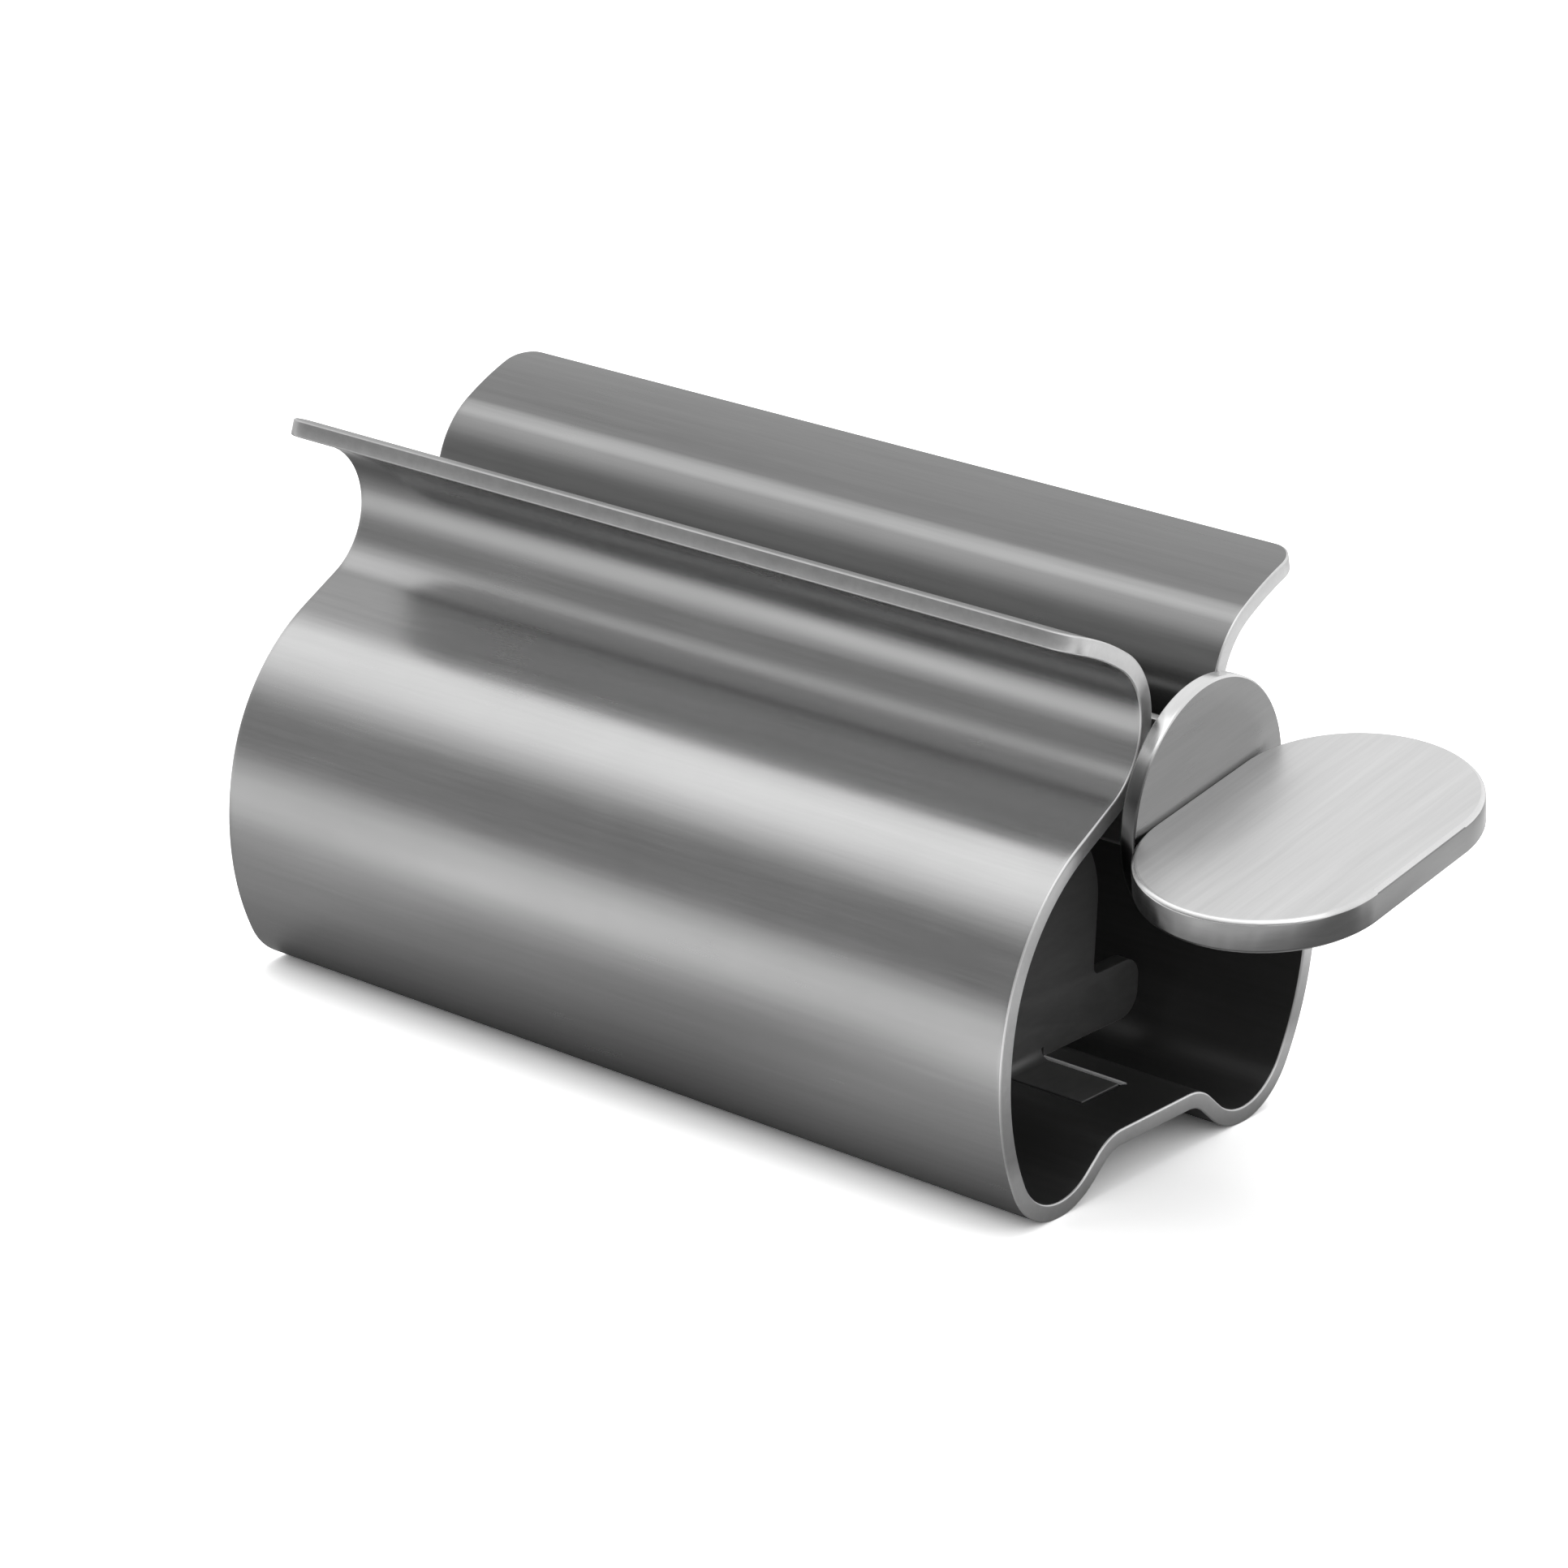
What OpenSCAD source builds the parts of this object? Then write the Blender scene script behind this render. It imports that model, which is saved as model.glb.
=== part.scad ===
// Toothpaste tube squeezer: a bent steel body with a loose winding key.
// The flat tail of a tube drops through the throat into the slit between the
// key's two prongs. Turning the key winds the tail up inside the belly.
// X runs along the body towards the key, Y across it, Z up. The origin lies on
// the ground, under the middle of the whole squeezer.

/* [Body sheet] */
// Length of the bent body
body_l = 80; // [60:1:120]
// Width of the body across the belly
body_w = 42.5; // [41:0.1:50]
// Thickness of the body sheet
sheet_t = 1.4; // [1:0.1:1.8]

/* [Belly and shoulder] */
// Outer radius of the belly bend
belly_r = 23.4; // [21:0.1:26]
// Height of the widest line of the belly
belly_z = 14.6; // [13:0.1:16]
// Outer radius of the shoulder bend above the belly
shoulder_r = 17.1; // [13:0.1:19]
// Angle above the widest line where the shoulder bend starts
shoulder_a = 11.4; // [5:0.2:20]
// Length of the straight neck between the shoulder bend and the throat bend
neck_l = 4.3; // [1:0.1:8]

/* [Throat and lips] */
// Free width of the throat between the two walls
throat_w = 8.1; // [7:0.1:11]
// Outer radius of the throat bend
throat_r = 6.1; // [4.5:0.1:8]
// Angle that the throat bend turns above its narrowest line
throat_a = 59; // [45:0.2:60]
// Outer radius of the flared lip
lip_r = 26; // [18:0.1:30]
// Angle that the lip bends on beyond the throat bend
lip_a = 16.5; // [12:0.5:30]
// Rounding of the four lip corners, seen from above
lip_corner_r = 2.2; // [1:0.1:5]

/* [Feet and floor] */
// Outer radius of the foot bend
foot_r = 6.8; // [5:0.1:8]
// Width of the flat that is ground under each foot
foot_flat = 1.6; // [1:0.1:2.4]
// Height of the raised floor's underside above the ground
floor_h = 3.5; // [3:0.1:4.2]
// Slope of the floor's sides
floor_a = 40; // [34:1:43]
// Outer radius of the bend at each side of the floor
floor_bend_r = 3.2; // [2:0.1:4]

/* [Stop plate] */
// Distance of the stop plate's face from the body's near end
stop_in = 13; // [10:0.5:20]
// Thickness of the stop plate
stop_t = 1.4; // [1:0.1:1.6]
// Gap between the ends of the plate's base and the wall
stop_side_gap = 1.9; // [0.5:0.1:4]
// Height of the plate's wide base
stop_base_h = 5.1; // [4:0.1:6]
// Rounding of the base's corners
stop_base_r = 2; // [0.5:0.1:2]
// Width of the tab above the base
tab_w = 18.4; // [14:0.2:24]
// Rounding of the tab's upper corners
tab_r = 9; // [2:0.2:9]
// Fillet between the tab and the base
tab_fillet_r = 0.8; // [0.4:0.1:1.2]
// Gap between the tab's top and the turning key
tab_gap = 0.8; // [0.3:0.1:8]
// Length of the tongue that holds the stop plate in the floor
tongue_l = 7.6; // [5:0.1:9]
// Width of the tongue
tongue_w = 5; // [4:0.1:6]
// Inner radius of the bend between the tongue and the plate
tongue_bend_r = 0.8; // [0.4:0.1:1.2]
// Gap round the tongue in the floor's slot
slot_gap = 0.3; // [0.1:0.05:0.5]

/* [Key] */
// Drop of the key's axis below the throat's narrowest line
key_drop = 6.6; // [6.5:0.1:9]
// Turn of the key at rest, rear end of the handle up
key_turn = 9.7; // [0:0.1:20]
// End play between the disc and the body's near end
end_play = 1.6; // [0.3:0.1:2]
// Radius of the disc
disc_r = 9.9; // [9:0.1:12]
// Thickness of the disc
disc_t = 1.4; // [1:0.1:2]
// Chamfer along the disc's edges
disc_edge = 0.15; // [0.05:0.05:0.3]
// Length of the handle across the key's axis
handle_l = 31.8; // [28:0.2:40]
// Width of the handle along the key's axis
handle_w = 19.9; // [16:0.1:24]
// Thickness of the handle
handle_t = 2.8; // [2:0.1:4]
// Shift of the handle from the disc's middle, towards the front
handle_shift = 1.2; // [0:0.1:3]
// Chamfer along the handle's edges
handle_edge = 0.3; // [0.1:0.05:0.5]

/* [Prongs] */
// Thickness of each prong
prong_t = 1.4; // [1:0.1:1.6]
// Width of the slit between the prongs
slit_w = 1.4; // [0.6:0.1:1.8]
// Chamfer along the prongs' outer edges
prong_edge = 0.6; // [0.2:0.1:0.8]
// Least gap between the turning prongs and the throat bends
turn_gap = 0.3; // [0.3:0.05:0.8]
// Distance of the prong tips from the body's far end
tip_in = 2; // [1:0.5:10]
// Radius of the rounded tips beyond half the prongs' height
tip_more = 1.2; // [0.4:0.2:4]

/* [Smoothness] */
// Largest distance between a bend and its straight steps
bend_dev = 0.003; // [0.002:0.001:0.02]

/* [Hidden] */
round_fn = 96;

// Places along the length
total_l = body_l + end_play + disc_t + handle_w;
far_x = -total_l / 2;
near_x = far_x + body_l;
stop_x = near_x - stop_in;

function ray(a) = [cos(a), sin(a)];

// Bends of one side of the body, seen along X: distance from the middle and
// height of each centre. All radii are those of the sheet's outer face.
belly_c = [body_w / 2 - belly_r, belly_z];
shoulder_c = belly_c + (belly_r - shoulder_r) * ray(shoulder_a);

// The throat bend stands over the shoulder bend, with the straight neck as
// their common tangent
throat_y = throat_w / 2 + sheet_t + throat_r;
neck_bends = shoulder_r + throat_r;
neck_reach = norm([neck_bends, neck_l]);
neck_rise = sqrt(pow(neck_reach, 2) - pow(throat_y - shoulder_c[0], 2));
throat_c = [throat_y, shoulder_c[1] + neck_rise];
neck_a = 180 + acos((throat_y - shoulder_c[0]) / neck_reach) - acos(neck_bends / neck_reach);

// The lip bend goes on from the throat bend, further from the middle
lip_start_a = 180 - throat_a;
lip_end_a = lip_start_a - lip_a;
lip_c = throat_c + (throat_r - lip_r) * ray(lip_start_a);
lip_y = lip_c[0] + lip_r * cos(lip_end_a);

// The foot bend carries the belly bend on, down to the flat on the ground
foot_z = sqrt(pow(foot_r, 2) - pow(foot_flat / 2, 2));
foot_y = belly_c[0] + sqrt(pow(belly_r - foot_r, 2) - pow(belly_z - foot_z, 2));
foot_c = [foot_y, foot_z];
foot_a = asin((foot_z - belly_z) / (belly_r - foot_r));
flat_a = asin(foot_flat / 2 / foot_r);

// The floor's side rises from the foot bend at its slope to the floor bend
floor_top = floor_h + sheet_t;
side_bends = foot_r + floor_bend_r;
side_rise = floor_h - floor_bend_r - foot_z + side_bends * cos(floor_a);
side_run = side_bends * sin(floor_a) + side_rise / tan(floor_a);
floor_c = [foot_y - side_run, floor_h - floor_bend_r];

// The key turns about a line along X. Its prongs are as tall as a full turn
// between the two throat bends allows.
axis_z = throat_c[1] - key_drop;
turn_r = norm([throat_y, key_drop]) - throat_r - sheet_t - turn_gap;
prong_h = sqrt(pow(turn_r, 2) - pow(slit_w / 2 + prong_t - prong_edge, 2));
prong_l = body_l + end_play - tip_in;

// The stop plate's base ends short of the foot's inner face at the floor's
// height, and its tab ends short of the turning key
stop_half = foot_y + sqrt(pow(foot_r - sheet_t, 2) - pow(floor_top - foot_z, 2)) - stop_side_gap;
tab_h = axis_z - turn_r - tab_gap - floor_top;

// Evenly stepped points of an arc from angle a to b, its first ones skipped
function arc(c, r, a, b, skip = 0) =
  let (n = ceil(abs(b - a) / acos(1 - bend_dev / r) / 2))
  [for (i = [skip : n]) c + r * ray(a + (b - a) * i / n)];

function backwards(list) = [for (i = [len(list) - 1 : -1 : 0]) list[i]];

function mirrored(list) = [for (p = backwards(list)) [-p[0], p[1]]];

// One side of the sheet from the lip's tip to the floor, moved inwards by d.
// Bends that open outwards grow by d, and the belly's bends shrink by it.
function side(d) = concat(
  arc(lip_c, lip_r + d, lip_end_a, lip_start_a),
  arc(throat_c, throat_r + d, lip_start_a, neck_a, 1),
  arc(shoulder_c, shoulder_r - d, neck_a - 180, shoulder_a),
  arc(belly_c, belly_r - d, shoulder_a, foot_a, 1),
  foot(d),
  arc(floor_c, floor_bend_r + d, 90 - floor_a, 90)
);

// The foot's outer face is ground flat where it stands
function foot(d) = d == 0
  ? concat(arc(foot_c, foot_r, foot_a, flat_a - 90, 1), arc(foot_c, foot_r, -flat_a - 90, -floor_a - 90))
  : arc(foot_c, foot_r - d, foot_a, -floor_a - 90, 1);

module along_body(x, length) {
  translate([x, 0, 0])
    rotate([90, 0, 90])
      linear_extrude(height = length)
        children();
}

module sheet_section() {
  outer = side(0);
  inner = side(sheet_t);
  polygon(concat(outer, mirrored(outer), backwards(concat(inner, mirrored(inner)))));
}

// What lies outside a rounded lip corner
module corner_waste() {
  r = lip_corner_r;
  translate([0, 0, throat_c[1]])
    linear_extrude(height = lip_c[1] + lip_r + sheet_t - throat_c[1])
      difference() {
        translate([-r, -r])
          square(2 * r);
        translate([-r, -r])
          circle(r = r, $fn = round_fn);
      }
}

module lip_corners() {
  for (end = [0, 1], front = [0, 1])
    translate([end == 1 ? near_x : far_x, 0, 0])
      mirror([1 - end, 0, 0])
        mirror([0, front, 0])
          translate([0, lip_y, 0])
            corner_waste();
}

module floor_slot() {
  back_x = stop_x - stop_t - slot_gap;
  front_x = stop_x + tongue_l + slot_gap;
  width = tongue_w + 2 * slot_gap;
  translate([back_x, -width / 2, 0])
    cube([front_x - back_x, width, floor_top + sheet_t]);
}

module body_shell() {
  color([0.66, 0.66, 0.66])
    difference() {
      along_body(far_x, body_l)
        sheet_section();
      lip_corners();
      floor_slot();
    }
}

// The plate stands across the body on the floor. Its tongue is bent towards
// the near end and lies in the floor's slot, level with the floor.
module stop_plate() {
  color([0.55, 0.55, 0.55])
    translate([0, 0, floor_top]) {
      along_body(stop_x - stop_t, stop_t)
        plate_outline();
      translate([stop_x, tongue_w / 2, 0])
        rotate([90, 0, 0])
          linear_extrude(height = tongue_w)
            tongue_section();
    }
}

// A wide base with a notch round the tongue, and a round-topped tab on it
module plate_outline() {
  r = stop_base_r;
  f = tab_fillet_r;
  round_r = min(tab_r, tab_w / 2, tab_h - stop_base_h - f);
  notch = tongue_w / 2 + slot_gap;
  half = concat(
    [[notch, tongue_bend_r], [notch, 0]],
    arc([stop_half - r, r], r, -90, 0),
    arc([stop_half - r, stop_base_h - r], r, 0, 90),
    arc([tab_w / 2 + f, stop_base_h + f], f, 270, 180),
    arc([tab_w / 2 - round_r, tab_h - round_r], round_r, 0, 90)
  );
  polygon(concat(half, mirrored(half)));
}

module tongue_section() {
  bend_c = [tongue_bend_r, tongue_bend_r];
  polygon(concat(
    arc(bend_c, tongue_bend_r, 180, 270),
    [[tongue_l, 0], [tongue_l, -stop_t]],
    arc(bend_c, tongue_bend_r + stop_t, 270, 180)
  ));
}

// The key's own frame: its origin lies on the axis, in the disc's back face
module at_key() {
  translate([near_x + end_play, 0, axis_z])
    rotate([key_turn, 0, 0])
      children();
}

module key_disc() {
  color([0.6, 0.6, 0.6])
    at_key()
      rotate([0, 90, 0])
        rotate_extrude($fn = round_fn)
          polygon([
            [0, 0],
            [disc_r - disc_edge, 0],
            [disc_r, disc_edge],
            [disc_r, disc_t - disc_edge],
            [disc_r - disc_edge, disc_t],
            [0, disc_t]
          ]);
}

// Half of the handle's section, from its middle line out to the edge
function handle_half() =
  let (r = handle_w / 2, h = handle_t / 2, e = handle_edge)
  [[0, -h], [r - e, -h], [r, e - h], [r, h - e], [r - e, h], [0, h]];

// A flat bar with half-round ends. One long side butts on the disc.
module key_handle() {
  straight_l = handle_l - handle_w;
  color([0.82, 0.82, 0.82])
    at_key()
      translate([disc_t + handle_w / 2, -handle_shift, 0]) {
        for (end = [-1, 1])
          translate([0, end * straight_l / 2, 0])
            rotate_extrude($fn = round_fn)
              polygon(handle_half());
        translate([0, straight_l / 2, 0])
          rotate([90, 0, 0])
            linear_extrude(height = straight_l)
              polygon(concat(handle_half(), mirrored(handle_half())));
      }
}

// A flat strip with a rounded tip, on the rear side of the slit. Its outer
// edges are chamfered.
module prong() {
  e = prong_edge;
  tip_r = prong_h + tip_more;
  intersection() {
    translate([-prong_l - tip_more, slit_w / 2, 0])
      rotate([90, 0, 90])
        linear_extrude(height = prong_l + tip_more)
          polygon([
            [0, -prong_h],
            [prong_t - e, -prong_h],
            [prong_t, e - prong_h],
            [prong_t, prong_h - e],
            [prong_t - e, prong_h],
            [0, prong_h]
          ]);
    translate([tip_r - prong_l, 0, 0]) {
      rotate([-90, 0, 0])
        cylinder(r = tip_r, h = slit_w + prong_t, $fn = round_fn);
      translate([0, 0, -tip_r])
        cube([prong_l, slit_w + prong_t, 2 * tip_r]);
    }
  }
}

module prong_front() {
  color([0.62, 0.62, 0.62])
    at_key()
      mirror([0, 1, 0])
        prong();
}

module prong_rear() {
  color([0.62, 0.62, 0.62])
    at_key()
      prong();
}

body_shell();
stop_plate();
key_disc();
key_handle();
prong_front();
prong_rear();
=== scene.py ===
"""Looks of a toothpaste tube squeezer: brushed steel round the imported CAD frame."""

import math

import bmesh
import bpy
from mathutils import Matrix, Vector


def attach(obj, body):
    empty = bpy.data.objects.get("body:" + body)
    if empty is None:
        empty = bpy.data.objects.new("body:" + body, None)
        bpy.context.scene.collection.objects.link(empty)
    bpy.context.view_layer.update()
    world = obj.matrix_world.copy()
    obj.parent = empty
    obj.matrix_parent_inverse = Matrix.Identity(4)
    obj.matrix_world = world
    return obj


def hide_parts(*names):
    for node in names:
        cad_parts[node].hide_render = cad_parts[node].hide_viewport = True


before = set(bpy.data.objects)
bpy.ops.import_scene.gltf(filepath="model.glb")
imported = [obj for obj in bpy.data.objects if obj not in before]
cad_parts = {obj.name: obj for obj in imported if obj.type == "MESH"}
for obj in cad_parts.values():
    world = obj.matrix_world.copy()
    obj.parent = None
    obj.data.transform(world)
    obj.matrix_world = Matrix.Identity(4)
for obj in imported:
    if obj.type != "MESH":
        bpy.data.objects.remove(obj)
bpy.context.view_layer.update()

MM = 0.001
PER_M = 1000.0

# Sizes of the bent sheet in mm and degrees, as in the CAD source

BODY_W, SHEET_T = 42.498, 1.4
BELLY_R, BELLY_Z = 23.4, 14.6
SHOULDER_R, SHOULDER_A, NECK_L = 17.1, 11.4, 4.3
THROAT_W, THROAT_R, THROAT_A = 8.1, 6.1, 59.0
LIP_R, LIP_A, LIP_CORNER_R = 26.0, 16.5, 2.2
FOOT_R, FOOT_FLAT = 6.8, 1.6
FLOOR_H, FLOOR_A, FLOOR_BEND_R = 3.5, 40.0, 3.2
FAR_X, NEAR_X = -51.45, 28.55
SLOT_X = (13.85, 23.45)
SLOT_Y = 2.8
KEY_TURN = 9.7  # degrees that the key is turned at rest

# Fineness of the sheet's skin

ARRIS_R = 0.16  # rounding of the sheet's cut edges
ARRIS_STEPS = 4
SLOT_RIM = 0.25  # chamfer of the floor slot's rear rims
SLOT_RIM_STEPS = 2
SUPPORT = 0.4  # strip beside an arris that keeps the shading of the wide face flat
CORNER_STEPS = 12
COLUMNS = 12
COLUMN_GAP = 1  # from a lip's corner to the first of the even columns
WIDE_STEP, THROAT_STEP, FOOT_STEP, FLOOR_STEP = 1.5, 2.5, 3.0, 5.0  # degrees of bend per row

# Slack in mm where a face or an edge is picked by its place

PICK_HEIGHT = 1
PICK_SLACK = 0.1


def ray(a):
    return Vector((math.cos(math.radians(a)), math.sin(math.radians(a))))


def acosd(v):
    return math.degrees(math.acos(v))


def arc(c, r, a, b, step, opens_out):
    """Stations along a bend: (place on the outer face, direction from there into the sheet)."""
    n = max(2, math.ceil(abs(b - a) / step))
    out = []
    for i in range(n + 1):
        d = ray(a + (b - a) * i / n)
        out.append((c + r * d, d if opens_out else -d))
    return out


class Profile:
    """One side of the body seen along X, as (distance from the middle, height) in mm."""

    def __init__(self):
        belly_c = Vector((BODY_W / 2 - BELLY_R, BELLY_Z))
        shoulder_c = belly_c + (BELLY_R - SHOULDER_R) * ray(SHOULDER_A)
        throat_y = THROAT_W / 2 + SHEET_T + THROAT_R
        bends = SHOULDER_R + THROAT_R
        reach = math.hypot(bends, NECK_L)
        rise = math.sqrt(reach**2 - (throat_y - shoulder_c.x) ** 2)
        throat_c = Vector((throat_y, shoulder_c.y + rise))
        neck_a = 180 + acosd((throat_y - shoulder_c.x) / reach) - acosd(bends / reach)
        lip_start = 180 - THROAT_A
        foot_z = math.sqrt(FOOT_R**2 - (FOOT_FLAT / 2) ** 2)
        foot_y = belly_c.x + math.sqrt((BELLY_R - FOOT_R) ** 2 - (BELLY_Z - foot_z) ** 2)
        foot_a = math.degrees(math.asin((foot_z - BELLY_Z) / (BELLY_R - FOOT_R)))
        side_bends = FOOT_R + FLOOR_BEND_R
        slope = math.radians(FLOOR_A)
        side_rise = FLOOR_H - FLOOR_BEND_R - foot_z + side_bends * math.cos(slope)
        side_run = side_bends * math.sin(slope) + side_rise / math.tan(slope)
        foot_c = Vector((foot_y, foot_z))
        floor_c = Vector((foot_y - side_run, FLOOR_H - FLOOR_BEND_R))

        self.lip_c = throat_c + (THROAT_R - LIP_R) * ray(lip_start)
        lip_y = self.lip_c.x + LIP_R * math.cos(math.radians(lip_start - LIP_A))
        self.corner_y = lip_y - LIP_CORNER_R
        corner_a = acosd((self.corner_y - self.lip_c.x) / LIP_R)
        self.stations = (
            arc(self.lip_c, LIP_R, corner_a, lip_start, WIDE_STEP, True)[1:]
            + arc(throat_c, THROAT_R, lip_start, neck_a, THROAT_STEP, True)[1:]
            + arc(shoulder_c, SHOULDER_R, neck_a - 180, SHOULDER_A, WIDE_STEP, False)
            + arc(belly_c, BELLY_R, SHOULDER_A, foot_a, WIDE_STEP, False)[1:]
            + arc(foot_c, FOOT_R, foot_a, -FLOOR_A - 90, FOOT_STEP, False)[1:]
            + arc(floor_c, FLOOR_BEND_R, 90 - FLOOR_A, 90, FLOOR_STEP, True)
        )
        up = Vector((0, 1))
        self.stations += [(Vector((y, FLOOR_H)), up) for y in (SLOT_Y + SUPPORT, SLOT_Y)]

    def on_lip(self, y):
        """The station of the lip's outer face at a distance y from the middle."""
        d = ray(acosd((y - self.lip_c.x) / LIP_R))
        return self.lip_c + LIP_R * d, d


def edge_section():
    """(inset, depth) round the sheet's cut edge, from the outer face to the inner one."""
    half = []
    for k in range(ARRIS_STEPS + 1):
        g = math.radians(90 * k / ARRIS_STEPS)
        half.append((ARRIS_R * (1 - math.sin(g)), ARRIS_R * (1 - math.cos(g))))
    return half + [(i, SHEET_T - d) for i, d in reversed(half)]


def edge_rows():
    """The rows of one side, from the lip's tip to the floor's slot. A row has one (inset from
    the body's end, place, direction into the sheet, depth) per point of the edge section."""
    profile = Profile()
    section = edge_section()
    rows = []
    for k in range(CORNER_STEPS + 1):
        b = math.radians(90 * k / CORNER_STEPS)
        row = []
        for inset, depth in section:
            r = LIP_CORNER_R - inset
            place, d = profile.on_lip(profile.corner_y + r * math.cos(b))
            row.append((LIP_CORNER_R - r * math.sin(b), place, d, depth))
        rows.append(row)
    for place, d in profile.stations:
        rows.append([(inset, place, d, depth) for inset, depth in section])
    return rows


def body_columns():
    """Places along X of the skin's columns, with a pair beside each end of the slot."""
    first = FAR_X + LIP_CORNER_R + COLUMN_GAP
    last = NEAR_X - LIP_CORNER_R - COLUMN_GAP
    even = [first + (last - first) * k / COLUMNS for k in range(COLUMNS + 1)]
    near_slot = [x for s in SLOT_X for x in (s - SUPPORT, s, s + SUPPORT)]
    kept = [x for x in even if all(abs(x - s) > 3 * SUPPORT for s in near_slot)]
    return sorted(kept + near_slot)


# Material slots of the sheet
OUTER, INNER, CUT, END, RIM = range(5)


def build_body():
    """The bent sheet as one closed skin: rows run along X, from the front lip's tip over the
    belly and the floor to the rear lip's tip, and every cut edge is rounded."""
    bm = bmesh.new()
    half = edge_rows()
    last = len(half[0]) - 1
    columns = body_columns()

    def vertex(x, side, place, d, depth):
        p = place + d * depth
        return bm.verts.new((x * MM, side * p.x * MM, max(p.y, 0.0) * MM))

    def skin_places(inset):
        return [FAR_X + inset + SUPPORT] + columns + [NEAR_X - inset - SUPPORT]

    rows = []
    for side, part in ((-1, half), (1, list(reversed(half)))):
        for ends in part:
            far = [vertex(FAR_X + x, side, p, d, h) for x, p, d, h in ends]
            near = [vertex(NEAR_X - x, side, p, d, h) for x, p, d, h in ends]
            skins = [
                [vertex(x, side, p, d, h) for x in skin_places(inset)]
                for inset, p, d, h in (ends[0], ends[-1])
            ]
            rows.append((far, near, skins, side, ends))

    def face(verts, kind, flip=False):
        f = bm.faces.new(tuple(reversed(verts)) if flip else verts)
        f.material_index = kind
        f.smooth = True

    for r, (a, b) in enumerate(zip(rows, rows[1:])):
        kind = CUT if min(r, len(rows) - 2 - r) < CORNER_STEPS else END
        for j in range(last):
            face((a[0][j], a[0][j + 1], b[0][j + 1], b[0][j]), kind)
            face((a[1][j], b[1][j], b[1][j + 1], a[1][j + 1]), kind)
        for skin, j, kind in ((0, 0, OUTER), (1, last, INNER)):
            la, lb = ([row[0][j]] + row[2][skin] + [row[1][j]] for row in (a, b))
            for c in range(len(la) - 1):
                face((la[c], lb[c], lb[c + 1], la[c + 1]), kind, flip=skin == 1)

    # The lip tips: the edge section is carried along every column
    for (far, near, skins, side, ends), flip in ((rows[0], False), (rows[-1], True)):
        lines = [[far[0]] + skins[0] + [near[0]]]
        xs = skin_places(ends[0][0])
        for j in range(1, last):
            _, p, d, h = ends[j]
            lines.append([far[j]] + [vertex(x, side, p, d, h) for x in xs] + [near[j]])
        lines.append([far[last]] + skins[1] + [near[last]])
        for la, lb in zip(lines, lines[1:]):
            for c in range(len(la) - 1):
                face((la[c], la[c + 1], lb[c + 1], lb[c]), CUT, flip=flip)

    cut_slot(bm)
    bmesh.ops.recalc_face_normals(bm, faces=bm.faces)
    return bm


def cut_slot(bm):
    """Opens the floor's slot for the stop plate's tongue and rounds its rear rims a little."""
    inside = []
    for f in bm.faces:
        c = f.calc_center_median() / MM
        low = c.z < FLOOR_H + SHEET_T + PICK_HEIGHT
        if low and abs(c.y) < SLOT_Y and SLOT_X[0] < c.x < SLOT_X[1]:
            inside.append(f)
    bmesh.ops.delete(bm, geom=inside, context="FACES")
    rims = [e for e in bm.edges if e.is_boundary]
    made = bmesh.ops.bridge_loops(bm, edges=rims)
    for f in made["faces"]:
        f.smooth = False
    rear_y = (SLOT_Y - PICK_SLACK) * MM
    hard = [e for e in rims if e.is_valid and min(v.co.y for v in e.verts) > rear_y]
    bevel = bmesh.ops.bevel(
        bm, geom=hard, offset=SLOT_RIM * MM, segments=SLOT_RIM_STEPS, profile=0.5,
        affect="EDGES", clamp_overlap=True,
    )
    # The slot's rear rims get a painted glint, the other new faces the inside steel
    for f in set(made["faces"]) | set(bevel["faces"]):
        if f.is_valid:
            f.material_index = RIM if f.calc_center_median().y > rear_y else INNER


def link(name, data):
    ob = bpy.data.objects.new(name, data)
    bpy.context.scene.collection.objects.link(ob)
    return ob


WELD_DIST = 1e-7  # metres within which the CAD mesh's points are one
FLAT_ANGLE = 0.15  # degrees within which its faces are one plane
SHARP_ANGLE = 25  # degrees from which an edge is rounded
ROUNDING_STEPS = 3


def dressed(node, name, width, zone=None):
    """A copy of a CAD node whose sharp edges carry a fine rounding. The zone function picks the
    material of each face from its middle and its normal."""
    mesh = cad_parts[node].data.copy()
    mesh.materials.clear()
    bm = bmesh.new()
    bm.from_mesh(mesh)
    bmesh.ops.remove_doubles(bm, verts=bm.verts, dist=WELD_DIST)
    bmesh.ops.dissolve_limit(
        bm, angle_limit=math.radians(FLAT_ANGLE), verts=bm.verts, edges=bm.edges
    )
    for f in bm.faces:
        f.smooth = True
        f.material_index = zone(f.calc_center_median() / MM, f.normal) if zone else 0
    bm.to_mesh(mesh)
    bm.free()
    ob = link(name, mesh)
    bevel = ob.modifiers.new("rounding", "BEVEL")
    bevel.width = width * MM
    bevel.segments = ROUNDING_STEPS
    bevel.limit_method = "ANGLE"
    bevel.angle_limit = math.radians(SHARP_ANGLE)
    bevel.harden_normals = True
    return ob


# Materials

def even_grey(value):
    return (value,) * 3 + (1,)


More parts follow.
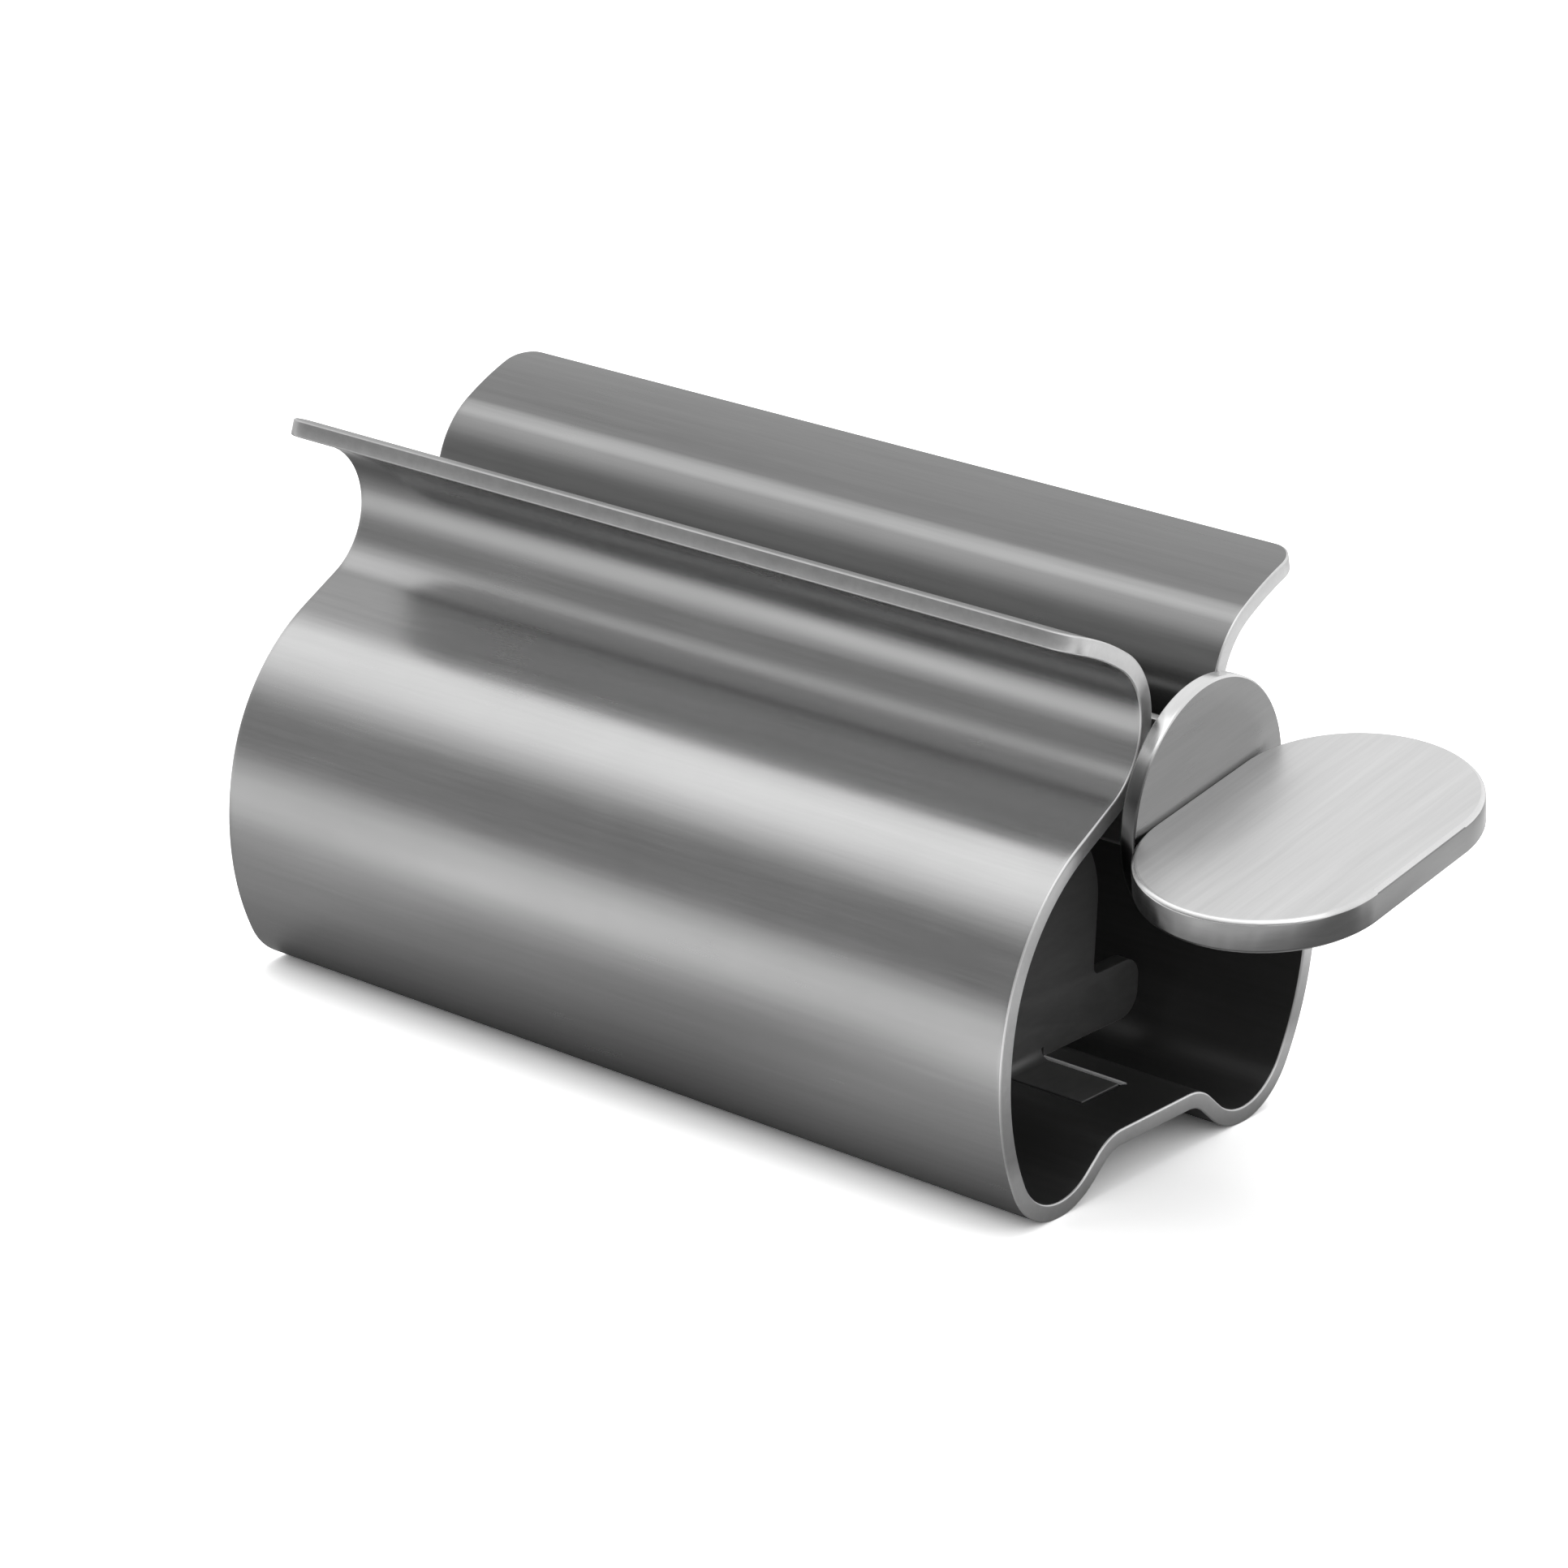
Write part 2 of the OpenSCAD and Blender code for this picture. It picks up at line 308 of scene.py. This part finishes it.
class Tree:
    """The node tree of a material or world, emptied, with short ways to add nodes."""

    def __init__(self, owner):
        owner.use_nodes = True
        self.tree = owner.node_tree
        self.tree.nodes.clear()

    def new(self, kind, inputs=None, **settings):
        """A node with its settings. An input is given by name or place, as a socket or a value."""
        node = self.tree.nodes.new(kind)
        for setting, value in settings.items():
            setattr(node, setting, value)
        for socket, value in (inputs or {}).items():
            if isinstance(value, bpy.types.NodeSocket):
                self.tree.links.new(value, node.inputs[socket])
            else:
                node.inputs[socket].default_value = value
        return node

    def number(self, operation, a, b=None):
        inputs = {0: a} if b is None else {0: a, 1: b}
        return self.new("ShaderNodeMath", inputs, operation=operation).outputs[0]

    def spread(self, value, low, high, to_low, to_high, kind="LINEAR"):
        """The value with its range low to high brought to another, and held at the ends."""
        inputs = {
            "Value": value, "From Min": low, "From Max": high, "To Min": to_low, "To Max": to_high,
        }
        return self.new("ShaderNodeMapRange", inputs, interpolation_type=kind).outputs[0]

    def ramp(self, share, marks, low, high, kind="LINEAR"):
        """A colour ramp over marks of (place, value), for a share of the way from low to high.
        Its colours are shares of the marks' peak, which is given with it."""
        peak = max(value for _, value in marks)
        node = self.new("ShaderNodeValToRGB", {"Fac": share})
        node.color_ramp.interpolation = kind
        stops = node.color_ramp.elements
        for i, (at, value) in enumerate(marks):
            position = (at - low) / (high - low)
            stop = stops[i] if i < 2 else stops.new(position)
            stop.position = position
            stop.color = even_grey(value / peak)
        return node.outputs["Color"], peak

    def ramp_mm(self, value, marks, low, kind="LINEAR"):
        """The same for a length in metres and marks in mm, from low to the last mark."""
        high = marks[-1][0]
        return self.ramp(self.spread(value, low * MM, high * MM, 0.0, 1.0), marks, low, high, kind)

    def times(self, a, b, factor):
        """The product of two colours and a number."""
        product = self.new("ShaderNodeVectorMath", {0: a, 1: b}, operation="MULTIPLY").outputs[0]
        inputs = {0: product, "Scale": factor}
        return self.new("ShaderNodeVectorMath", inputs, operation="SCALE").outputs[0]

    def mix(self, factor, a, b):
        return self.new("ShaderNodeMixShader", {0: factor, 1: a, 2: b}).outputs[0]


GRAIN_SHIFT = (7.37, 3.61, 5.23)  # keeps the cells of the grain's octaves from lining up
FINE_GRAIN, TRACK_GRAIN = 80, 420  # mm that hold a grain's number of cells
SMEAR_CELLS = (90, 90, 90)  # per metre
NOISE_DETAIL = 3
STREAK_NOISE, SMEAR_NOISE = 0.6, 0.55  # roughness of the noises' octaves
NOISE_LOW, NOISE_HIGH = 0.3, 0.7  # hold nearly all of a noise's values
ROUGH_SPREAD = 0.02
RELIEF = 0.02  # mm
DULL_ROUGH, DULL_METAL = 0.10, 0.7  # of mill finish: added roughness, metallic


def steel(name, dark, light, rough, grain=(7, 200, 200), turn=0.0, bump=0.06, smudge=0.03,
          metal=1.0, shade=None, dull=None):
    """Brushed steel: fine streaks along one axis, softer tracks among them, and faint smudges.
    Shade names an axis and lists the share of the colour along it. Dull is the height below
    which the steel has its unpolished mill finish, with the height where the polish is full."""
    mat = bpy.data.materials.new(name)
    tree = Tree(mat)
    local = tree.new("ShaderNodeTexCoord").outputs["Object"]
    place = tree.new("ShaderNodeSeparateXYZ", {0: local}).outputs

    # Turned first, then stretched, so the streaks follow a tilted piece
    turned = tree.new(
        "ShaderNodeMapping", {"Vector": local, "Rotation": (math.radians(-turn), 0, 0)}
    ).outputs[0]

    def noise(cells, roughness):
        stretched = tree.new(
            "ShaderNodeMapping", {"Vector": turned, "Scale": cells, "Location": GRAIN_SHIFT}
        ).outputs[0]
        inputs = {
            "Vector": stretched, "Scale": 1.0, "Detail": NOISE_DETAIL, "Roughness": roughness,
        }
        return tree.new("ShaderNodeTexNoise", inputs).outputs["Fac"]

    def from_noise(value, low, high):
        return tree.spread(value, NOISE_LOW, NOISE_HIGH, low, high)

    fine = noise(tuple(g / FINE_GRAIN * PER_M for g in grain), STREAK_NOISE)
    tracks = noise(tuple(g / TRACK_GRAIN * PER_M for g in grain), STREAK_NOISE)
    smear = noise(SMEAR_CELLS, SMEAR_NOISE)

    tone = tree.number("ADD", from_noise(fine, 0.0, 0.5), from_noise(tracks, 0.0, 0.5))
    colour = tree.new(
        "ShaderNodeMix", {"Factor": tone, "A": even_grey(dark), "B": even_grey(light)},
        data_type="RGBA",
    ).outputs["Result"]
    if shade:
        axis, marks = shade
        share, peak = tree.ramp_mm(place[axis], marks, marks[0][0])
        colour = tree.times(colour, share, peak)

    roughness = tree.number(
        "ADD",
        from_noise(fine, rough - ROUGH_SPREAD, rough + ROUGH_SPREAD),
        from_noise(smear, -smudge, smudge),
    )
    metallic = metal
    if dull:
        low, high = (z * MM for z in dull)
        added = tree.spread(place["Z"], low, high, DULL_ROUGH, 0.0, "SMOOTHSTEP")
        roughness = tree.number("ADD", roughness, added)
        metallic = tree.spread(place["Z"], low, high, DULL_METAL, metal, "SMOOTHSTEP")

    height = tree.number("ADD", fine, tracks)
    relief = tree.new(
        "ShaderNodeBump", {"Strength": bump, "Distance": RELIEF * MM, "Height": height}
    ).outputs[0]
    look = {"Base Color": colour, "Metallic": metallic, "Roughness": roughness, "Normal": relief}
    surface = tree.new("ShaderNodeBsdfPrincipled", look).outputs[0]
    tree.new("ShaderNodeOutputMaterial", {0: surface})
    return mat


# Share of the colour by the place in mm, painted shade and painted reflections. By height, the
# outside is painted darker over the neck and the throat, in bands that stand in for its
# reflections

# Painted shade and painted reflections on the outside, by height
OUTSIDE_PAINTED_SHADE = (
    (29.5, 1.00),
    (31.0, 0.75),
    (33.0, 0.72),
    (34.5, 0.75),
    (35.6, 1.05),
    (36.4, 1.05),
    (37.2, 0.85),
    (39.5, 0.90),
    (40.6, 0.80),
    (41.8, 0.55),
    (42.6, 0.62),
    (43.4, 0.95),
    (46.8, 1.00),
)
# The inside is painted dark low in the belly, painted shade, with painted bright and dark bands of
# reflection on the lips' inner faces
INSIDE_PAINTED_SHADE = (
    (3.0, 0.30),
    (30.0, 0.27),
    (35.0, 0.36),
    (39.0, 1.18),
    (41.2, 1.00),
    (42.0, 0.83),
    (43.5, 0.83),
    (43.9, 1.25),
    (44.5, 1.36),
    (44.7, 0.90),
    (45.3, 0.87),
    (46.3, 0.97),
    (47.7, 1.05),
)

# The lips' cut edge is painted brighter towards the body's ends, a painted highlight
TIPS = 2.4
CUT_PAINTED_HIGHLIGHT = ((FAR_X, 1.6), (FAR_X + TIPS, 1.0), (NEAR_X - TIPS, 1.0), (NEAR_X, 1.6))

# The cut ends of the sheet carry painted light and shade by height: brighter at the floor's edge
# and over the belly, darker at the feet and above and below the belly
END_PAINTED_LIGHT = (
    (0.0, 0.72),
    (3.0, 1.08),
    (5.0, 1.08),
    (7.0, 0.72),
    (11.0, 0.80),
    (14.5, 1.08),
    (20.0, 1.12),
    (24.0, 0.85),
    (30.0, 0.94),
)
# The stop plate is painted darker towards its top: painted shade under the key
PLATE_PAINTED_SHADE = ((5.0, 1.6), (12.0, 1.2), (17.0, 0.8), (24.0, 0.45))
# The disc's rim is painted near white at its top, a painted highlight, and dark lower down,
# painted shade
DISC_PAINTED_LIGHT = ((27.0, 0.10), (34.0, 0.13), (36.5, 0.35), (38.5, 1.0))

# Cells of the grain along each axis
EVEN = (160, 160, 160)

body_outside = steel("body_outside", 0.47, 0.53, 0.24, bump=0.03, shade=("Z", OUTSIDE_PAINTED_SHADE))
# The inside is a darker grey than the outside: painted shade
body_inside = steel(
    "body_inside", 0.27, 0.32, 0.30, shade=("Z", INSIDE_PAINTED_SHADE), dull=(33.0, 40.0)
)
body_cut = steel(
    "body_cut", 0.48, 0.56, 0.36, grain=EVEN, bump=0.12, shade=("X", CUT_PAINTED_HIGHLIGHT)
)
# The end faces are a far lighter grey than the lips' cut edge: a painted highlight
body_end = steel(
    "body_end", 0.80, 0.90, 0.36, grain=EVEN, bump=0.12, metal=0.8, shade=("Z", END_PAINTED_LIGHT)
)
# Near white with little metal: a painted glint on thin rims
painted_glint = steel("painted_glint", 0.80, 0.95, 0.45, grain=EVEN, bump=0.12, metal=0.2)
# The stop plate's steel is painted nearly black: painted shade inside the body
plate_face = steel(
    "plate_face", 0.10, 0.13, 0.52, grain=(160, 40, 160), metal=0.75, shade=("Z", PLATE_PAINTED_SHADE)
)
disc_face = steel("disc_face", 0.36, 0.42, 0.30, grain=(200, 12, 200), turn=KEY_TURN)
# Painted highlight and painted shade on the disc's rim, by height
disc_rim = steel(
    "disc_rim", 0.86, 0.94, 0.24, grain=(200, 30, 30), turn=KEY_TURN, shade=("Z", DISC_PAINTED_LIGHT)
)
handle_face = steel("handle_face", 0.76, 0.87, 0.42, grain=(200, 8, 200), turn=KEY_TURN, bump=0.2)
# The handle's side is a darker grey than its wide faces: painted shade
handle_side = steel("handle_side", 0.30, 0.36, 0.22, grain=(30, 30, 200), turn=KEY_TURN)
handle_rim = steel("handle_rim", 0.84, 0.94, 0.24, grain=(40, 40, 40), turn=KEY_TURN)
prong_face = steel("prong_face", 0.46, 0.54, 0.30)

# Pieces

# Least share of a normal along an axis for a face that lies square to it, and the most for one
# that lies along it
SQUARE, LEVEL, ALONG = 0.9, 0.95, 0.2


def plate_zone(middle, normal):
    """The stop plate's lower edge, beside the floor, carries the painted glint."""
    low = middle.z < FLOOR_H + SHEET_T + PICK_SLACK
    return 1 if normal.z < -SQUARE and low else 0


def disc_zone(middle, normal):
    """Wide faces, then the rim."""
    return 0 if abs(normal.x) > SQUARE else 1


def handle_zone(middle, normal):
    """Wide faces, then the side, then the chamfer between them."""
    tilt = math.radians(KEY_TURN)
    rise = abs(normal.z * math.cos(tilt) - normal.y * math.sin(tilt))
    return 0 if rise > LEVEL else 1 if rise < ALONG else 2


body_mesh = bpy.data.meshes.new("body_sheet")
bm = build_body()
bm.to_mesh(body_mesh)
bm.free()
for m in (body_outside, body_inside, body_cut, body_end, painted_glint):
    body_mesh.materials.append(m)
body = link("body_sheet", body_mesh)
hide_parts("body_shell")
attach(body, "body")

# CAD node, name, body, slot, materials by zone, rounding in mm, zone function
PIECES = (
    ("stop_plate", "stop_sheet", "body", "plate_steel", (plate_face, painted_glint), 0.10, plate_zone),
    ("key_disc", "disc", "key", "disc_steel", (disc_face, disc_rim), 0.08, disc_zone),
    (
        "key_handle", "handle", "key", "handle_steel",
        (handle_face, handle_side, handle_rim), 0.12, handle_zone,
    ),
    ("prong_front", "prong_a", "key", "prong_steel", (prong_face,), 0.12, None),
    ("prong_rear", "prong_b", "key", "prong_steel", (prong_face,), 0.12, None),
)
for node, name, rider, slot, looks, width, zone in PIECES:
    piece = dressed(node, name, width, zone)
    for m in looks:
        piece.data.materials.append(m)
    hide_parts(node)
    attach(piece, rider)

# Floor, light and camera

FLOOR_SIZE, FLOOR_SIDES = 6.0, 96  # radius in metres, sides of the round floor
FLOOR_SEEN = 2.1  # white to the camera in this light

# Grey of the mirrored floor by its distance in mm from the body's middle line, painted shade that
# is darkest close by, and the gain on it by the place in mm along the body, a painted lift
FLOOR_PAINTED_SHADE = ((16, 0.27), (30, 0.40), (66, 0.95), (90, 0.95), (220, 0.60))
FLOOR_PAINTED_LIFT = (
    (-82, 1.0),
    (-70, 1.08),
    (-60, 1.17),
    (-45, 1.17),
    (-36, 1.1),
    (-10, 1.0),
    (12, 1.3),
    (18, 1.3),
    (36, 1.0),
)


def build_floor():
    """White to the camera; the steel mirrors a floor with painted shade, greyer close by."""
    bm = bmesh.new()
    bmesh.ops.create_circle(bm, cap_ends=True, segments=FLOOR_SIDES, radius=FLOOR_SIZE)
    mesh = bpy.data.meshes.new("floor")
    bm.to_mesh(mesh)
    bm.free()
    floor = link("floor", mesh)
    mat = bpy.data.materials.new("floor_white")
    tree = Tree(mat)
    local = tree.new("ShaderNodeTexCoord").outputs["Object"]
    place = tree.new("ShaderNodeSeparateXYZ", {0: local}).outputs
    away = tree.number("ABSOLUTE", place["Y"])
    greys, most = tree.ramp_mm(away, FLOOR_PAINTED_SHADE, 0, "EASE")
    lift, gain = tree.ramp_mm(place["X"], FLOOR_PAINTED_LIFT, FLOOR_PAINTED_LIFT[0][0], "EASE")
    grey = tree.times(greys, lift, most * gain)
    mirrored = tree.new("ShaderNodeBsdfDiffuse", {"Color": grey}).outputs[0]
    seen = tree.new("ShaderNodeBsdfDiffuse", {"Color": even_grey(FLOOR_SEEN)}).outputs[0]
    path = tree.new("ShaderNodeLightPath").outputs
    surface = tree.mix(path["Is Camera Ray"], mirrored, seen)
    tree.new("ShaderNodeOutputMaterial", {0: surface})
    mesh.materials.append(mat)


build_floor()

AMBIENT = 0.75
WHITE = even_grey(1)

# The studio as steel sees it, by angle round the body's long axis, from the front's horizon (0)
# over the top (0.5) to the back's horizon (1): a grey front wall, a long softbox and a pale back.
STUDIO = (
    (0.00, 0.26),
    (0.16, 0.26),
    (0.36, 1.45),
    (0.44, 1.45),
    (0.52, 0.80),
    (0.80, 0.85),
    (1.00, 0.95),
)

# Towards the ends of the long axis the bands fade into an even grey
END_GREY, END_FADE = 0.62, 6


def build_world():
    world = bpy.data.worlds.new("studio")
    bpy.context.scene.world = world
    tree = Tree(world)

    def background(colour, strength):
        return tree.new("ShaderNodeBackground", {"Color": colour, "Strength": strength}).outputs[0]

    towards = tree.new("ShaderNodeTexCoord").outputs["Generated"]
    x, y, z = tree.new("ShaderNodeSeparateXYZ", {0: towards}).outputs
    angle = tree.number("ARCTAN2", z, tree.number("MULTIPLY", y, -1))
    bands, peak = tree.ramp(tree.number("DIVIDE", angle, math.pi), STUDIO, 0, 1, "EASE")
    off_axis = tree.number("POWER", tree.number("ABSOLUTE", x), END_FADE)
    faded = tree.new(
        "ShaderNodeMix", {"Factor": off_axis, "A": bands, "B": even_grey(END_GREY / peak)},
        data_type="RGBA",
    ).outputs["Result"]

    path = tree.new("ShaderNodeLightPath").outputs
    in_metal = tree.number("MAXIMUM", path["Is Glossy Ray"], path["Is Transmission Ray"])
    unseen = tree.mix(in_metal, background(WHITE, AMBIENT), background(faded, peak))
    surface = tree.mix(path["Is Camera Ray"], unseen, background(WHITE, 1.0))
    tree.new("ShaderNodeOutputWorld", {0: surface})


build_world()

SUN, SUN_SPREAD, SUN_TILT = 0.25 * math.pi, 50, -6  # strength, and degrees


def build_lamp():
    data = bpy.data.lights.new("top_light", "SUN")
    data.energy = SUN
    data.angle = math.radians(SUN_SPREAD)
    lamp = link("top_light", data)
    lamp.rotation_euler = (math.radians(SUN_TILT), math.radians(SUN_TILT), 0)
    lamp.visible_glossy = False


build_lamp()

# The camera that the photograph was taken with, by a fit to the outline

SENSOR, LENS = 36, 126.206  # mm
CLIP = (0.01, 50)  # metres
RIGHT = Vector((0.78014, 0.62459, 0.03568))
UP = Vector((-0.24205, 0.24875, 0.93783))
BACK = Vector((0.57688, -0.74028, 0.34525))
EYE = Vector((247.5245, -329.962, 176.2492)) * MM


def build_camera():
    data = bpy.data.cameras.new("camera")
    data.sensor_width = SENSOR
    data.lens = LENS
    data.clip_start, data.clip_end = CLIP
    camera = link("camera", data)
    turn = Matrix((RIGHT, UP, BACK)).transposed().to_4x4()
    camera.matrix_world = Matrix.Translation(EYE) @ turn
    bpy.context.scene.camera = camera


build_camera()

bpy.context.scene.view_settings.view_transform = "Standard"
